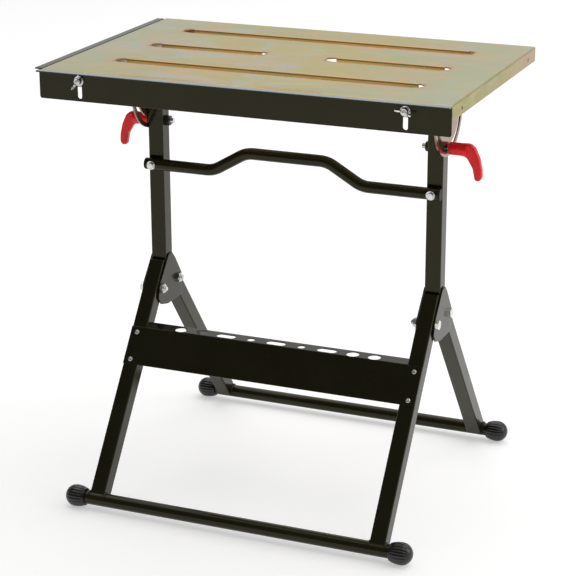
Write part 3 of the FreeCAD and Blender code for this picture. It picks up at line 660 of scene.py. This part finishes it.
def tilt_hardware():
    """Nuts on the columns' inner faces: lock nuts for the tilt pivots, plain ones for the levers."""
    for node, slot, name in (
        ("tilt_pivot_nuts", "bright_zinc", "tilt_lock_nuts"), ("clamp_nuts", "black_oxide", "clamp_hex_nuts"),
    ):
        low, high = cad_box(node)
        y = (low.y + high.y) / 2
        z = (low.z + high.z) / 2
        if node == "clamp_nuts":
            forms = [hex_form((high.x, y, z), "-x", M10_FLATS, CLAMP_NUT)]
        else:
            forms = lock_nut_form((high.x, y, z), "-x", M10_FLATS, M10_NUT)
        build(name, both(*forms), slot, "upright_frame", node)


# ---------------------------------------------------------------- tray screws
def front_leg_directions():
    """Unit vectors of a front leg: down along it, and out of its front face."""
    along = Vector((0, LEG_FOOT[0] - LEG_PIVOT[0], LEG_FOOT[1] - LEG_PIVOT[1])).normalized()
    outward = Vector((0, along.z, -along.y))
    return along, outward


def crosshead(up, angle, radius):
    """Presses a tapered cross recess into the crown of a screw head."""
    across = min(abs(math.sin(angle)), abs(math.cos(angle))) * radius
    if radius < CROSS_REACH and across < CROSS_HALF_WIDTH and up > SCREW_HEAD * 0.6:
        return up - CROSS_DEPTH * (1 - radius / CROSS_TAPER), radius
    return up, radius


def screw_rows():
    """Rows of a tray screw: a pointed shank, a domed head and close rings where the cross is pressed in."""
    shank = [(-SCREW_LENGTH, 0.0012), (-SCREW_LENGTH + 0.002, SCREW_RADIUS), (0.0, SCREW_RADIUS)]
    brim = [(0.0, SCREW_HEAD_RADIUS * 0.96), (0.0003, SCREW_HEAD_RADIUS)]
    dome = [(0.45, 1.0), (0.72, 0.93), (0.88, 0.80), (0.96, 0.62)]
    crown = (0.00215, 0.0020, 0.0017, 0.0014, 0.0011, 0.0008, 0.0005, 0.0002)
    rows = shank + brim
    rows += [(SCREW_HEAD * height, SCREW_HEAD_RADIUS * radius) for height, radius in dome]
    rows += [(SCREW_HEAD, radius) for radius in crown]
    return rows


def tray_screws():
    """The four screws that hold the tray to the front legs."""
    along, outward = front_leg_directions()
    axis = (Vector((1, 0, 0)), -along, outward)
    forms = []
    rows = screw_rows()
    for station in TRAY_SCREW_STATIONS:
        for side in (-1, 1):
            pivot = Vector((side * TRAY_SCREW_X, *LEG_PIVOT))
            seat = pivot + outward * (LEG_HALF + TRAY_SHEET) + along * station
            forms.append(turned(seat, axis, rows, 64, crosshead))
    build("tray_crosshead_screws", forms, "bright_zinc", "front_legs", "tray_screws")


# ---------------------------------------------------------------- welds
def bead(path, radius, pitch=0.0022):
    """A weld bead along a line of points: a round tube, thin at both ends, with hand-weld ripples."""
    lengths = [0.0]
    for before, after in zip(path, path[1:]):
        lengths.append(lengths[-1] + (after - before).length)
    total = lengths[-1]
    count = max(8, round(total / pitch * 6))
    points = []
    faces = []
    sides = 10
    for index in range(count + 1):
        reach = total * index / count
        span = next(i for i in range(1, len(lengths)) if reach <= lengths[i] + 1e-9)
        share = (reach - lengths[span - 1]) / (lengths[span] - lengths[span - 1])
        centre = path[span - 1].lerp(path[span], share)
        tangent = (path[span] - path[span - 1]).normalized()
        first = tangent.orthogonal().normalized()
        second = tangent.cross(first)
        taper = min(1.0, min(reach, total - reach) / radius + 0.25)
        size = radius * taper * (0.86 + 0.14 * abs(math.sin(math.pi * reach / pitch)))
        for step in range(sides):
            angle = 2 * math.pi * step / sides
            ring = first * (size * math.cos(angle)) + second * (size * math.sin(angle))
            points.append(centre + ring)
    for row in range(count):
        for step in range(sides):
            near = row * sides
            after = (step + 1) % sides
            faces.append((near + step, near + after, near + sides + after, near + sides + step))
    faces.append(tuple(range(sides - 1, -1, -1)))
    faces.append(tuple(range(count * sides, count * sides + sides)))
    return points, faces


def crossbar_welds():
    """Fillet welds where each leg's lower end is coped onto its crossbar."""
    for end, slope in (("front", -FRONT_LEG_SLOPE), ("rear", REAR_LEG_SLOPE)):
        low, high = cad_box(end + "_crossbar")
        centre = Vector((0, (low.y + high.y) / 2, (low.z + high.z) / 2))
        middle = math.pi / 2 + slope
        forms = []
        for side in (-1, 1):
            for face in (-1, 1):
                x = side * COLUMN_X + face * (LEG_HALF + 0.0008)
                path = []
                for index in range(13):
                    angle = middle + WELD_HALF_ARC * (index / 6 - 1)
                    ring = Vector((0, math.cos(angle), math.sin(angle))) * (CROSSBAR_RADIUS + 0.0006)
                    path.append(Vector((x, centre.y, centre.z)) + ring)
                forms.append(bead(path, WELD_RADIUS))
        build(end + "_crossbar_welds", forms, "black_powder_coat", end + "_legs")


def hinge_plate_welds():
    """Short welds along the tops of the hinge plates."""
    _, high = cad_box("right_outer_hinge_plate")
    forms = []
    top = high.z - 0.0004
    for x in (COLUMN_X + COLUMN_HALF + 0.0012, COLUMN_X - COLUMN_HALF - 0.0012):
        forms.append(bead([Vector((x, -0.006, top)), Vector((x, 0.007, top))], PLATE_WELD_RADIUS))
    build("hinge_plate_welds", both(*forms), "black_powder_coat", "upright_frame")


feet()
handle_bolts()
leg_pivot_bolts()
rail_studs()
tilt_hardware()
tray_screws()
crossbar_welds()
hinge_plate_welds()


# ---------------------------------------------------------------- stage
def floor_material():
    """Matt pale grey with a little light of its own, so that shadows stay soft."""
    n = Nodes("studio_floor")
    n.set("Base Color", (0.70, 0.70, 0.70, 1.0))
    n.set("Roughness", 0.9)
    n.set("Specular IOR Level", 0.0)
    n.set("Emission Color", (1.0, 1.0, 1.0, 1.0))
    n.set("Emission Strength", 0.45)
    return n.material


def floor():
    """A wide plain floor just below the feet."""
    bpy.ops.mesh.primitive_plane_add(size=60.0, location=(0.0, 0.0, -0.0005))
    plane = bpy.context.object
    plane.name = "studio_floor"
    plane.data.materials.append(floor_material())


def softbox(name, place, aim, width, height, power):
    """A rectangular area light turned towards a point."""
    light = bpy.data.lights.new(name, "AREA")
    light.shape = "RECTANGLE"
    light.size = width
    light.size_y = height
    light.energy = power
    lamp = bpy.data.objects.new(name, light)
    bpy.context.scene.collection.objects.link(lamp)
    lamp.location = place
    lamp.rotation_euler = (Vector(aim) - Vector(place)).to_track_quat("-Z", "Y").to_euler()


def surround():
    """Even studio surroundings, brighter to the back and right, dimmer to the front."""
    world = bpy.data.worlds.new("studio")
    world.use_nodes = True
    tree = world.node_tree
    place = tree.nodes.new("ShaderNodeTexCoord")
    facing = tree.nodes.new("ShaderNodeVectorMath")
    facing.operation = "DOT_PRODUCT"
    facing.inputs[1].default_value = (0.46, 0.83, 0.30)
    level = tree.nodes.new("ShaderNodeMapRange")
    for key, number in (("From Min", -0.4), ("From Max", 0.5), ("To Min", 0.14), ("To Max", 0.75)):
        level.inputs[key].default_value = number
    tree.links.new(place.outputs["Generated"], facing.inputs[0])
    tree.links.new(facing.outputs["Value"], level.inputs["Value"])
    tree.links.new(level.outputs["Result"], tree.nodes["Background"].inputs["Strength"])
    tree.nodes["Background"].inputs["Color"].default_value = (1.0, 1.0, 1.0, 1.0)
    bpy.context.scene.world = world


def studio():
    """Floor, surroundings and two softboxes."""
    floor()
    surround()
    softbox("overhead", (0.0, 2.2, 4.4), (0.0, 2.2, 0.0), 6.0, 7.0, 120.0)
    softbox("right_side", (2.8, 0.6, 1.7), (0.0, 0.0, 0.5), 1.8, 2.2, 20.0)


def camera():
    """A long lens aimed at the table from the front right and above."""
    azimuth = math.radians(CAMERA_AZIMUTH)
    elevation = math.radians(CAMERA_ELEVATION)
    back = Vector((
        math.sin(azimuth) * math.cos(elevation), -math.cos(azimuth) * math.cos(elevation), math.sin(elevation)
    ))
    right = Vector((math.cos(azimuth), math.sin(azimuth), 0.0))
    up = back.cross(right)
    turn = Matrix((right, up, back)).transposed().to_4x4()
    data = bpy.data.cameras.new("camera")
    data.lens = CAMERA_LENS
    data.sensor_width = SENSOR
    data.clip_end = 100.0
    seat = bpy.data.objects.new("camera", data)
    bpy.context.scene.collection.objects.link(seat)
    place = Matrix.Translation(Vector(CAMERA_TARGET) + back * CAMERA_DISTANCE)
    seat.matrix_world = place @ turn @ Matrix.Rotation(math.radians(CAMERA_ROLL), 4, "Z")
    bpy.context.scene.camera = seat


studio()
camera()
bpy.context.scene.view_settings.view_transform = "Standard"
